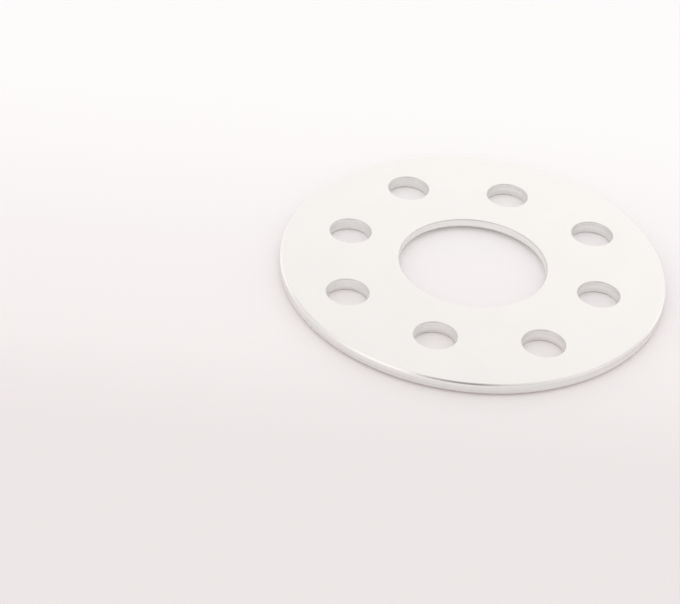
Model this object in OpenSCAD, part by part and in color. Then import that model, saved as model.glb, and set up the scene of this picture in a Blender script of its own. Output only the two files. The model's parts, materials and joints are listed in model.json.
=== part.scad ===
// Wheel spacer: one flat turned disc with a hub bore and two circles of bolt holes.
// The origin is on the axis at the hub-side face, and +Z points to the wheel.

/* [Disc] */
// Thickness between the hub-side and wheel-side faces
thickness = 5; // [4:0.5:25]
// Outer diameter of the rim
outer_d = 149; // [140:0.5:170]
// Chamfer on the rim at the wheel-side face
rim_chamfer_wheel = 0.6; // [0.2:0.1:1.5]
// Chamfer on the rim at the hub-side face
rim_chamfer_hub = 1; // [0.2:0.1:1.5]

/* [Hub bore] */
// Diameter of the bore that centres the disc on the hub
bore_d = 57.1; // [52:0.1:72]
// Broken edge of the bore at the wheel-side face
bore_edge_wheel = 0.3; // [0.1:0.1:1]
// Lead-in chamfer of the bore at the hub-side face
bore_lead_in = 2; // [0.5:0.1:2.5]

/* [Bolt holes] */
// Number of holes on each bolt circle
bolts_per_circle = 4; // [3:1:6]
// Diameter of the smaller bolt circle
small_circle_d = 100; // [98:0.5:106]
// Diameter of the larger bolt circle
large_circle_d = 108; // [106:0.5:120]
// Diameter of each bolt hole
bolt_hole_d = 16; // [13:0.1:17]
// Broken edge of each bolt hole at both faces
bolt_hole_edge = 0.3; // [0.1:0.1:0.8]

/* [Hidden] */

$fn = 180;
outer_r = outer_d / 2;
bore_r = bore_d / 2;
bolt_hole_r = bolt_hole_d / 2;
// Angle between neighbouring holes of one bolt circle
bolt_pitch = 360 / bolts_per_circle;
// Length by which a cutter stands past each face
overcut = 1;

// Half section of the turned disc, with a chamfer at each of its four corners
module disc_section() {
    polygon([
        [bore_r + bore_lead_in, 0],
        [outer_r - rim_chamfer_hub, 0],
        [outer_r, rim_chamfer_hub],
        [outer_r, thickness - rim_chamfer_wheel],
        [outer_r - rim_chamfer_wheel, thickness],
        [bore_r + bore_edge_wheel, thickness],
        [bore_r, thickness - bore_edge_wheel],
        [bore_r, bore_lead_in]
    ]);
}

// Half section of a bolt-hole cutter, which widens at 45 degrees through both faces
module bolt_hole_section() {
    mouth_r = bolt_hole_r + bolt_hole_edge + overcut;
    polygon([
        [0, -overcut],
        [mouth_r, -overcut],
        [bolt_hole_r, bolt_hole_edge],
        [bolt_hole_r, thickness - bolt_hole_edge],
        [mouth_r, thickness + overcut],
        [0, thickness + overcut]
    ]);
}

// Cutters for one circle of bolt holes, the first at the given angle from +X
module bolt_circle(circle_d, first_angle) {
    for (i = [0 : bolts_per_circle - 1])
        rotate([0, 0, first_angle + i * bolt_pitch])
            translate([circle_d / 2, 0, 0])
                rotate_extrude()
                    bolt_hole_section();
}

// The whole spacer: a turned disc, drilled on two bolt circles half a pitch apart
module spacer_disc() {
    color("gainsboro")
        difference() {
            rotate_extrude()
                disc_section();
            bolt_circle(small_circle_d, 0);
            bolt_circle(large_circle_d, bolt_pitch / 2);
        }
}

spacer_disc();
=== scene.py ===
"""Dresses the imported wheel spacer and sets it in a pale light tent, seen from the photograph's viewpoint.

The spacer is one turned and drilled aluminium disc. Its finished body is modelled here with finer curves and
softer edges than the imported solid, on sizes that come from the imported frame.
"""

import json
import logging
import math
from abc import ABC, abstractmethod
from dataclasses import dataclass
from enum import Enum
from typing import Self

import bmesh
import bpy
from mathutils import Matrix, Vector

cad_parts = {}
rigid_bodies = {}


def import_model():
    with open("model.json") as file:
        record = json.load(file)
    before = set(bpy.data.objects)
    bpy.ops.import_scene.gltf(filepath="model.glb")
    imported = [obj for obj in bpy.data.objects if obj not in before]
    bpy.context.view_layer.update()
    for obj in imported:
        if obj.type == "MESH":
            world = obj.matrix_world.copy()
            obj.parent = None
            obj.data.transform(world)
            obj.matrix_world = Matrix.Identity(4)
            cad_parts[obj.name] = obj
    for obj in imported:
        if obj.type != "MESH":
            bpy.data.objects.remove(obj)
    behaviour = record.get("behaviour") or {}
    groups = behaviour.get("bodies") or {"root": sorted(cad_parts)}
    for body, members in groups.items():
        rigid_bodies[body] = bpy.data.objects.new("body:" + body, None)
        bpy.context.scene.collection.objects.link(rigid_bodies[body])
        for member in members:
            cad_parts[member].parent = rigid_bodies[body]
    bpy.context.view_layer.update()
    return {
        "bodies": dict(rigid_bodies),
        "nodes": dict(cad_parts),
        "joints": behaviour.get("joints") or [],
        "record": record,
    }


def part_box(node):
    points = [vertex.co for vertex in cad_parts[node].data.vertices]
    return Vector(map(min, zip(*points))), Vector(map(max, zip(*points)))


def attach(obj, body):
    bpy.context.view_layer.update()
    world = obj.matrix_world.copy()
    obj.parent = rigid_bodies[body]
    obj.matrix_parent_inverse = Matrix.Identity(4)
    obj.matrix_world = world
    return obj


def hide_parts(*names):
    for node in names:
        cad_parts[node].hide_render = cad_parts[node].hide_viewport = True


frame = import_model()

LOG = logging.getLogger("wheel_spacer")
MM = 0.001

Colour = tuple[float, float, float, float]
Span = tuple[float, float]
Section = tuple[tuple[float, float], ...]
Socket = bpy.types.NodeSocket
Inputs = dict[str | int, object]

WHITE: Colour = (1.0, 1.0, 1.0, 1.0)
UNIT_SPAN: Span = (0.0, 1.0)
# The part of its range from 0 to 1 that a noise texture mostly keeps to
NOISE_SPAN: Span = (0.25, 0.75)


class Zone(Enum):
    """The kinds of surface on the disc, in the order of their material slots.

    The bored walls are those of the bore, with its lead-in, and of the bolt holes. The hole edges are the
    broken edges of the bore and the bolt holes, and the chamfers are the rim's two.
    """

    FACE = "face"
    RIM = "rim"
    BORED = "bored"
    CHAMFER = "chamfer"
    HOLE_EDGE = "hole_edge"


class MetalSide(Enum):
    """The side of a round wall on which the metal lies, as the sign of the way into the metal."""

    INSIDE = -1.0
    OUTSIDE = 1.0


class ShaderSheet:
    """A node tree, with short calls that add nodes and set or link their inputs."""

    def __init__(self, tree: bpy.types.NodeTree) -> None:
        """Start from an empty tree."""
        self.tree = tree
        self.tree.nodes.clear()

    def add(self, kind: str, inputs: Inputs | None = None, **settings: object) -> bpy.types.Node:
        """Add one node.

        Args:
            kind: The node's type, without its ShaderNode prefix.
            inputs: A value or an output socket for each input, by name or number.
            settings: Properties of the node itself.

        Returns:
            The new node.
        """
        node = self.tree.nodes.new("ShaderNode" + kind)
        for name, value in settings.items():
            setattr(node, name, value)
        for key, value in (inputs or {}).items():
            if isinstance(value, Socket):
                self.tree.links.new(value, node.inputs[key])
            else:
                node.inputs[key].default_value = value
        return node

    def maths(self, operation: str, *values: object) -> Socket:
        """Return the result of a Math node on these values or sockets."""
        return self.add("Math", dict(enumerate(values)), operation=operation).outputs[0]

    def vector(self, operation: str, result: str, *values: object) -> Socket:
        """Return the named result of a Vector Math node on these vectors or sockets."""
        return self.add("VectorMath", dict(enumerate(values)), operation=operation).outputs[result]

    def noise(self, place: Socket, size: float, detail: float = 2.0) -> Socket:
        """Return noise from 0 to 1 whose features are about size metres across."""
        inputs = {"Vector": place, "Scale": 1.0 / size, "Detail": detail}
        return self.add("TexNoise", inputs).outputs["Fac"]

    def between(self, share: Socket, start: object, end: object) -> Socket:
        """Return the colour that lies a share of the way from start to end, each a colour or a socket."""
        return self.add("Mix", {"Factor": share, 6: start, 7: end}, data_type="RGBA").outputs[2]

    def ramp(self, value: Socket, source: Span, target: Span = UNIT_SPAN, curve: str = "LINEAR") -> Socket:
        """Return value carried over from the source span to the target span."""
        inputs = {"Value": value, 1: source[0], 2: source[1], 3: target[0], 4: target[1]}
        return self.add("MapRange", inputs, interpolation_type=curve).outputs["Result"]


@dataclass(frozen=True)
class Pattern:
    """The sockets that shape a finish: its tone and its haze from 0 to 1, and its relief in metres."""

    tone: Socket
    haze: Socket
    relief: Socket


@dataclass(frozen=True)
class AluminiumFinish(ABC):
    """A finish of clear-anodised aluminium, whose tone, roughness and relief follow a pattern.

    The tone runs from the deep to the pale colour, and the roughness from the sharpest to the haziest.
    """

    name: str
    deep: Colour
    pale: Colour
    sharpest: float
    haziest: float

    @abstractmethod
    def pattern(self, sheet: ShaderSheet, place: Socket) -> Pattern:
        """Return the pattern of this finish at the given place on the disc."""

    def material(self) -> bpy.types.Material:
        """Make the material of this finish.

        Returns:
            A new metal material, with its pattern on the disc's own coordinates.
        """
        material = bpy.data.materials.new(self.name)
        material.use_nodes = True
        sheet = ShaderSheet(material.node_tree)
        pattern = self.pattern(sheet, sheet.add("TexCoord").outputs["Object"])
        bump = sheet.add("Bump", {"Height": pattern.relief, "Distance": 1.0, "Strength": 1.0})
        shader = sheet.add(
            "BsdfPrincipled",
            {
                "Base Color": sheet.between(pattern.tone, self.deep, self.pale),
                "Metallic": 1.0,
                "Roughness": sheet.ramp(pattern.haze, NOISE_SPAN, (self.sharpest, self.haziest)),
                "Normal": bump.outputs["Normal"],
            },
        )
        sheet.add("OutputMaterial", {"Surface": shader.outputs["BSDF"]})
        return material


@dataclass(frozen=True)
class SatinFace(AluminiumFinish):
    """The flat faces: an even blasted satin, with a fine grain and faint rings left by the lathe."""

    cloud_size: float = 18 * MM
    grain_size: float = 0.25 * MM
    grain_depth: float = 0.002 * MM
    ring_pitch: float = 0.9 * MM
    ring_depth: float = 0.0008 * MM
    ring_drift: float = 0.02
    ring_share: float = 0.5

    def pattern(self, sheet: ShaderSheet, place: Socket) -> Pattern:
        """Lay soft clouds of tone over a fine grain and concentric rings.

        Args:
            sheet: The node tree of the finish.
            place: The place on the disc.

        Returns:
            Clouds as the tone, and rings and grain together as the haze and the relief.
        """
        flat = sheet.vector("MULTIPLY", "Vector", place, (1.0, 1.0, 0.0))
        radius = sheet.vector("LENGTH", "Value", flat)
        drift = sheet.add("VectorMath", {0: flat, "Scale": self.ring_drift}, operation="SCALE")
        outward = sheet.add("CombineXYZ", {"Z": radius})
        ring_place = sheet.vector("ADD", "Vector", drift.outputs["Vector"], outward.outputs["Vector"])
        clouds = sheet.noise(place, self.cloud_size)
        grain = sheet.noise(place, self.grain_size)
        rings = sheet.noise(ring_place, self.ring_pitch)
        grain_haze = sheet.maths("MULTIPLY", grain, 1.0 - self.ring_share)
        haze = sheet.maths("MULTIPLY_ADD", rings, self.ring_share, grain_haze)
        grain_relief = sheet.maths("MULTIPLY", grain, self.grain_depth)
        relief = sheet.maths("MULTIPLY_ADD", rings, self.ring_depth, grain_relief)
        return Pattern(clouds, haze, relief)


@dataclass(frozen=True)
class TurnedWall(AluminiumFinish):
    """The walls, chamfers and broken edges: cut metal with fine tool lines that run round the axis."""

    line_pitch: float = 0.8 * MM
    line_depth: float = 0.006 * MM
    line_drift: float = 0.006
    line_span: Span = (0.3, 0.7)

    def pattern(self, sheet: ShaderSheet, place: Socket) -> Pattern:
        """Lay tool lines at even heights, which drift slowly along the wall.

        Args:
            sheet: The node tree of the finish.
            place: The place on the disc.

        Returns:
            The lines as the tone, the haze and the relief.
        """
        stretched = sheet.vector("MULTIPLY", "Vector", place, (self.line_drift, self.line_drift, 1.0))
        lines = sheet.noise(stretched, self.line_pitch)
        tone = sheet.ramp(lines, self.line_span)
        return Pattern(tone, lines, sheet.maths("MULTIPLY", lines, self.line_depth))


FINISHES_WITH_PAINTED_SHADE: dict[Zone, AluminiumFinish] = {
    Zone.FACE: SatinFace(
        name="satin_face",
        deep=(0.91, 0.878, 0.852, 1.0),
        pale=(0.94, 0.907, 0.88, 1.0),
        sharpest=0.26,
        haziest=0.34,
    ),
    # The rim's turned metal is coloured darker than the bored walls'. Its tool lines are real, but part of
    # that darkness is painted shade for the shadowed floor it reflects.
    Zone.RIM: TurnedWall(
        name="turned_rim_with_painted_shade",
        deep=(0.77, 0.768, 0.756, 1.0),
        pale=(0.96, 0.957, 0.943, 1.0),
        sharpest=0.38,
        haziest=0.48,
    ),
    Zone.BORED: TurnedWall(
        name="bored_wall",
        deep=(0.84, 0.838, 0.825, 1.0),
        pale=(1.0, 0.997, 0.982, 1.0),
        sharpest=0.38,
        haziest=0.48,
    ),
    Zone.CHAMFER: TurnedWall(
        name="cut_chamfer",
        deep=(0.9, 0.868, 0.85, 1.0),
        pale=(0.97, 0.936, 0.916, 1.0),
        sharpest=0.14,
        haziest=0.24,
    ),
    # The broken edges are coloured much darker than the rest of the metal as painted shade, for the dark
    # lines of shade along the hole and bore edges. Their higher roughness is real.
    Zone.HOLE_EDGE: TurnedWall(
        name="broken_edge_painted_shade",
        deep=(0.71, 0.688, 0.672, 1.0),
        pale=(0.79, 0.765, 0.748, 1.0),
        sharpest=0.4,
        haziest=0.5,
    ),
}


@dataclass(frozen=True)
class RoundWall:
    """One round wall: where its axis stands, its half section from the hub side up, and its steps round."""

    axis: Vector
    section: Section
    steps: int

    def turn(self, bm: bmesh.types.BMesh) -> None:
        """Spin the half section once round the axis.

        Args:
            bm: The mesh that the wall is added to.
        """
        places = [self.axis + Vector((radius, 0.0, height)) for radius, height in self.section]
        corners = [bm.verts.new(place) for place in places]
        lines = [bm.edges.new(pair) for pair in zip(corners, corners[1:])]
        bmesh.ops.spin(
            bm,
            geom=corners + lines,
            cent=self.axis,
            axis=(0.0, 0.0, 1.0),
            angle=2.0 * math.pi,
            steps=self.steps,
            use_merge=True,
        )


@dataclass
class SpacerBody:
    """The whole spacer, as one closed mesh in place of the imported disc.

    A land is the narrow ring of a flat face that is spun with each wall, up to which the face is filled.
    Softness is the width of the rounding on every ring where surfaces meet at more than the sharp angle.
    A lean is the upright share of a face's normal.
    """

    outer_r: float
    thickness: float
    bore_r: float
    bolt_holes: list[Vector]
    bolt_hole_r: float
    rim_chamfer_wheel: float = 0.6 * MM
    rim_chamfer_hub: float = 1.0 * MM
    bore_edge_wheel: float = 0.3 * MM
    bore_lead_in: float = 2.0 * MM
    bolt_hole_edge: float = 0.3 * MM
    land: float = 0.3 * MM
    softness: float = 0.06 * MM
    soft_steps: int = 3
    sharp_angle: float = math.radians(30.0)
    rim_steps: int = 360
    bore_steps: int = 240
    bolt_hole_steps: int = 120
    weld_gap: float = 0.001 * MM
    level_gap: float = 0.01 * MM
    flat_lean: float = 0.99
    wall_lean: float = 0.1
    node: str = "spacer_disc"
    name: str = "spacer_body"

    @classmethod
    def from_frame(cls, packed: dict[str, object]) -> Self:
        """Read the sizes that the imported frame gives.


        Returns:
            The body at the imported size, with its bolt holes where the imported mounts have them.
        """
        mounts = {mount["name"]: mount["dims"] for mount in packed["record"]["mounts"]}
        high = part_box(cls.node)[1]
        small, large = mounts["bolts_100"], mounts["bolts_108"]
        return cls(
            outer_r=high.x,
            thickness=high.z,
            bore_r=mounts["hub_bore"]["r_mm"] * MM,
            bolt_holes=cls.circle(small, 0.0) + cls.circle(large, 0.5),
            bolt_hole_r=small["hole_r_mm"] * MM,
        )

    @staticmethod
    def circle(dims: dict[str, float], first: float) -> list[Vector]:
        """Space the holes of one bolt circle.

        Args:
            dims: The bolt circle's diameter and its number of holes, from its mount.
            first: How far past +X the first hole lies, as a share of the pitch.

        Returns:
            The centre of each hole, at the hub-side face.
        """
        radius = dims["pcd_mm"] / 2 * MM
        angles = [2.0 * math.pi * (i + first) / dims["count"] for i in range(dims["count"])]
        return [Vector((radius * math.cos(angle), radius * math.sin(angle), 0.0)) for angle in angles]

    def section(self, radius: float, side: MetalSide, hub_cut: float, wheel_cut: float) -> Section:
        """Draw the half section of one wall.

        Args:
            radius: The wall's radius.
            side: The side of the wall on which the metal lies.
            hub_cut: The chamfer at the hub-side face.
            wheel_cut: The chamfer at the wheel-side face.

        Returns:
            Radius and height of each corner, from the hub-side land to the wheel-side land.
        """
        way = side.value
        return (
            (radius + way * (hub_cut + self.land), 0.0),
            (radius + way * hub_cut, 0.0),
            (radius, hub_cut),
            (radius, self.thickness - wheel_cut),
            (radius + way * wheel_cut, self.thickness),
            (radius + way * (wheel_cut + self.land), self.thickness),
        )

    def walls(self) -> list[RoundWall]:
        """Lay out the round walls, each with its lands.

        Returns:
            The rim, the bore and the bolt holes.
        """
        rim = self.section(self.outer_r, MetalSide.INSIDE, self.rim_chamfer_hub, self.rim_chamfer_wheel)
        bore = self.section(self.bore_r, MetalSide.OUTSIDE, self.bore_lead_in, self.bore_edge_wheel)
        hole = self.section(self.bolt_hole_r, MetalSide.OUTSIDE, self.bolt_hole_edge, self.bolt_hole_edge)
        centre = Vector((0.0, 0.0, 0.0))
        turned = [RoundWall(centre, rim, self.rim_steps), RoundWall(centre, bore, self.bore_steps)]
        return turned + [RoundWall(axis, hole, self.bolt_hole_steps) for axis in self.bolt_holes]

    def build(self) -> bpy.types.Object:
        """Model and dress the body.

        Returns:
            The body as a new object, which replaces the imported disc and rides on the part's one body.
        """
        bm = bmesh.new()
        for wall in self.walls():
            wall.turn(bm)
        bmesh.ops.remove_doubles(bm, verts=bm.verts, dist=self.weld_gap)
        self.soften(bm)
        self.close(bm)
        bmesh.ops.recalc_face_normals(bm, faces=bm.faces)
        self.sort_zones(bm)
        mesh = bpy.data.meshes.new(self.name)
        bm.to_mesh(mesh)
        bm.free()
        self.dress(mesh)
        body = bpy.data.objects.new(self.name, mesh)
        bpy.context.scene.collection.objects.link(body)
        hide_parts(self.node)
        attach(body, "root")
        return body

    def soften(self, bm: bmesh.types.BMesh) -> None:
        """Round every ring where a land, a chamfer and a wall meet, as a cutter and a blast leave it.

        Args:
            bm: The spun walls.
        """
        inner = [edge for edge in bm.edges if len(edge.link_faces) == 2]
        rings = [edge for edge in inner if edge.calc_face_angle() > self.sharp_angle]
        bmesh.ops.bevel(
            bm,
            geom=rings,
            offset=self.softness,
            offset_type="OFFSET",
            affect="EDGES",
            segments=self.soft_steps,
            profile=0.5,
            material=-1,
        )

    def close(self, bm: bmesh.types.BMesh) -> None:
        """Fill both flat faces between the lands.

        Args:
            bm: The softened walls, open at both faces.
        """
        for height in (0.0, self.thickness):
            open_edges = [
                edge
                for edge in bm.edges
                if edge.is_boundary and abs(edge.verts[0].co.z - height) < self.level_gap
            ]
            bmesh.ops.triangle_fill(bm, edges=open_edges, use_beauty=True)

    def sort_zones(self, bm: bmesh.types.BMesh) -> None:
        """Give each face its zone's material slot, and smooth shading.

        Args:
            bm: The closed body, with its normals outwards.
        """
        order = list(Zone)
        rim_starts = self.outer_r - self.rim_chamfer_hub - self.land
        lead_in_ends = self.bore_r + self.bore_lead_in
        for face in bm.faces:
            lean = abs(face.normal.z)
            radius = face.calc_center_median().xy.length
            if lean > self.flat_lean:
                zone = Zone.FACE
            elif radius > rim_starts:
                zone = Zone.RIM if lean < self.wall_lean else Zone.CHAMFER
            elif lean < self.wall_lean or (radius < lead_in_ends and face.normal.z < 0.0):
                zone = Zone.BORED
            else:
                zone = Zone.HOLE_EDGE
            face.material_index = order.index(zone)
            face.smooth = True

    def dress(self, mesh: bpy.types.Mesh) -> None:
        """Give the mesh the finish of each zone, in the zones' order; the rim's and the broken edges'
        colours hold painted shade.
        """
        for zone in Zone:
            mesh.materials.append(FINISHES_WITH_PAINTED_SHADE[zone].material())


@dataclass(frozen=True)
class Viewpoint:
    """The camera, fitted to the photograph.

    Azimuth, elevation and roll are in degrees, and the disc's upper centre lies at centre_in_view on the
    camera's own axes.
    """

    azimuth: float = 16.0
    elevation: float = 37.0
    roll: float = 5.0
    centre_in_view: tuple[float, float, float] = (51.3 * MM, 15.4 * MM, -808.2 * MM)
    focal_px: float = 2096.0
    image_width_px: float = 680.0

    def facing(self) -> Matrix:
        """Work out how the camera is turned.

        Returns:
            The turn from the camera's own axes to the part's.
        """
        around = Matrix.Rotation(math.radians(self.azimuth), 3, "Z")
        down = Matrix.Rotation(math.radians(90.0 - self.elevation), 3, "X")
        tilt = Matrix.Rotation(math.radians(self.roll), 3, "Z")
        return around @ down @ tilt

    def build(self, target: Vector) -> bpy.types.Object:
        """Make the camera and make it the scene's.

        Args:
            target: The disc's upper centre.

        Returns:
            The camera, which sees the target at its place in the view.
        """
        lens = bpy.data.cameras.new("camera")
        lens.lens = self.focal_px / self.image_width_px * lens.sensor_width
        camera = bpy.data.objects.new("camera", lens)
        turn = self.facing()
        stand = target - turn @ Vector(self.centre_in_view)
        camera.matrix_world = Matrix.Translation(stand) @ turn.to_4x4()
        bpy.context.scene.collection.objects.link(camera)
        bpy.context.scene.camera = camera
        return camera


def direction(azimuth: float, elevation: float) -> Vector:
    """Turn two angles into a direction.

    Args:
        azimuth: Degrees from -Y towards +X, as the camera's is counted.
        elevation: Degrees above the floor.

    Returns:
        The unit vector that way.
    """
    around = math.radians(azimuth)
    up = math.radians(elevation)
    return Vector((math.sin(around) * math.cos(up), -math.cos(around) * math.cos(up), math.sin(up)))


@dataclass(frozen=True)
class SoftPatch:
    """A round patch of the tent, which adds light, or takes it away where its strength is negative.

    Its azimuth counts from the camera's and its elevation from the floor. The full strength reaches from
    its middle to inner and fades to nothing at outer. These angles are in degrees.
    """

    name: str
    azimuth: float
    elevation: float
    inner: float
    outer: float
    strength: float

    def light(self, sheet: ShaderSheet, look: Socket, camera_azimuth: float) -> Socket:
        """Work out what the patch adds to the tent's light.

        Args:
            sheet: The tent's node tree.
            look: The direction that is looked in.
            camera_azimuth: The camera's azimuth in degrees.

        Returns:
            The light that is added in that direction.
        """
        middle = direction(camera_azimuth + self.azimuth, self.elevation)
        nearness = sheet.vector("DOT_PRODUCT", "Value", look, middle)
        edge = math.cos(math.radians(self.outer))
        core = math.cos(math.radians(self.inner))
        return sheet.ramp(nearness, (edge, core), (0.0, self.strength), "SMOOTHSTEP")


@dataclass(frozen=True)
class LightTent:
    """The white tent that lights the disc, as the world: an even wall with brighter and darker patches."""

    wall: float = 1.05
    patches: tuple[SoftPatch, ...] = (
        SoftPatch("opening overhead", 0.0, 90.0, 6.0, 24.0, -0.078),
        SoftPatch("glow behind", 172.0, 30.0, 5.0, 20.0, 0.118),
        SoftPatch("gap above the camera", -6.0, 52.0, 6.0, 22.0, -0.638),
        SoftPatch("shade in front", 20.0, 15.0, 5.0, 45.0, -0.25),
        SoftPatch("shade at the front right", 50.0, 45.0, 10.0, 40.0, -0.2),
        SoftPatch("shade at the right", 95.0, 20.0, 5.0, 24.0, -0.21),
        SoftPatch("shade at the left", -95.0, 25.0, 5.0, 28.0, -0.22),
        SoftPatch("shade at the back left", -128.0, 42.0, 5.0, 28.0, -0.25),
        SoftPatch("shade high behind", 178.0, 52.0, 4.0, 22.0, -0.284),
        SoftPatch("shade low behind", 175.0, 2.0, 4.0, 32.0, -0.09),
    )

    def build(self, camera_azimuth: float) -> bpy.types.World:
        """Make the tent and make it the scene's world.

        Args:
            camera_azimuth: The camera's azimuth in degrees, which the patches are counted from.

        Returns:
            The new world.
        """
        world = bpy.data.worlds.new("light_tent")
        world.use_nodes = True
        sheet = ShaderSheet(world.node_tree)
        look = sheet.add("TexCoord").outputs["Generated"]
        light = self.wall
        for patch in self.patches:
            light = sheet.maths("ADD", light, patch.light(sheet, look, camera_azimuth))
        tent = sheet.add("Background", {"Color": WHITE, "Strength": light})
        sheet.add("OutputWorld", {"Surface": tent.outputs["Background"]})
        bpy.context.scene.world = world
        return world


@dataclass(frozen=True)
class FloorLamp:
    """A broad lamp straight above, which brightens the floor and stays out of the metal's reflections."""

    strength: float = 0.28
    breadth: float = math.radians(54.0)

    def build(self) -> bpy.types.Object:
        """Make the lamp.

        Returns:
            The lamp, which points straight down.
        """
        light = bpy.data.lights.new("floor_lamp", "SUN")
        light.energy = self.strength
        light.angle = self.breadth
        lamp = bpy.data.objects.new("floor_lamp", light)
        lamp.visible_glossy = False
        bpy.context.scene.collection.objects.link(lamp)
        return lamp


@dataclass(frozen=True)
class StudioFloor:
    """The pale floor under the disc, whose colour brightens to white away from the camera: a painted falloff
    of light.

    Each rise is the stretch over which one colour gives way to the next, counted from the disc's centre.
    """

    radius: float = 5.0
    steps: int = 96
    drop: float = 0.02 * MM
    # The near, middle and far colours paint the light's falloff across the floor: darker near the camera,
    # white far off.
    near: Colour = (0.855, 0.805, 0.804, 1.0)
    middle: Colour = (0.931, 0.882, 0.877, 1.0)
    far: Colour = (1.0, 0.972, 0.975, 1.0)
    first_rise: Span = (-0.115, -0.04)
    second_rise: Span = (-0.06, 0.13)
    roughness: float = 0.9
    gloss: float = 0.1

    def build(self, camera_azimuth: float) -> bpy.types.Object:
        """Make the floor, which isn't part of the object.

        Args:
            camera_azimuth: The camera's azimuth in degrees.

        Returns:
            The floor as a new object of the stage.
        """
        bm = bmesh.new()
        bmesh.ops.create_circle(bm, cap_ends=True, segments=self.steps, radius=self.radius)
        bmesh.ops.translate(bm, verts=bm.verts, vec=(0.0, 0.0, -self.drop))
        mesh = bpy.data.meshes.new("floor")
        bm.to_mesh(mesh)
        bm.free()
        mesh.materials.append(self.paper(-direction(camera_azimuth, 0.0)))
        floor = bpy.data.objects.new("floor", mesh)
        bpy.context.scene.collection.objects.link(floor)
        return floor

    def paper(self, away: Vector) -> bpy.types.Material:
        """Make the floor's matt paper.

        Args:
            away: The level direction away from the camera.

        Returns:
            A new material whose colour runs from near to far in that direction, as a painted falloff of
            light.
        """
        material = bpy.data.materials.new("floor_paper_painted_falloff")
        material.use_nodes = True
        sheet = ShaderSheet(material.node_tree)
        along = sheet.vector("DOT_PRODUCT", "Value", sheet.add("TexCoord").outputs["Object"], away)
        # Painted light: the colour darkens towards the camera and whitens away from it.
        first = sheet.ramp(along, self.first_rise, curve="SMOOTHSTEP")
        second = sheet.ramp(along, self.second_rise, curve="SMOOTHSTEP")
        colour = sheet.between(second, sheet.between(first, self.near, self.middle), self.far)
        inputs = {"Base Color": colour, "Roughness": self.roughness, "Specular IOR Level": self.gloss}
        shader = sheet.add("BsdfPrincipled", inputs)
        sheet.add("OutputMaterial", {"Surface": shader.outputs["BSDF"]})
        return material


def main() -> None:
    """Build the spacer, then the floor, the light and the camera."""
    logging.basicConfig(level=logging.INFO, format="%(name)s %(message)s")
    bpy.context.scene.view_settings.view_transform = "Standard"
    spacer = SpacerBody.from_frame(frame)
    body = spacer.build()
    LOG.info("%s: %d faces", body.name, len(body.data.polygons))
    view = Viewpoint()
    floor = StudioFloor().build(view.azimuth)
    LOG.info("%s: %.0f m across", floor.name, floor.dimensions.x)
    tent = LightTent().build(view.azimuth)
    LOG.info("%s: %d nodes", tent.name, len(tent.node_tree.nodes))
    lamp = FloorLamp().build()
    LOG.info("%s: %.2f watts a square metre", lamp.name, lamp.data.energy)
    camera = view.build(Vector((0.0, 0.0, spacer.thickness)))
    LOG.info("%s: %.0f mm lens", camera.name, camera.data.lens)


if __name__ == "__main__":
    main()
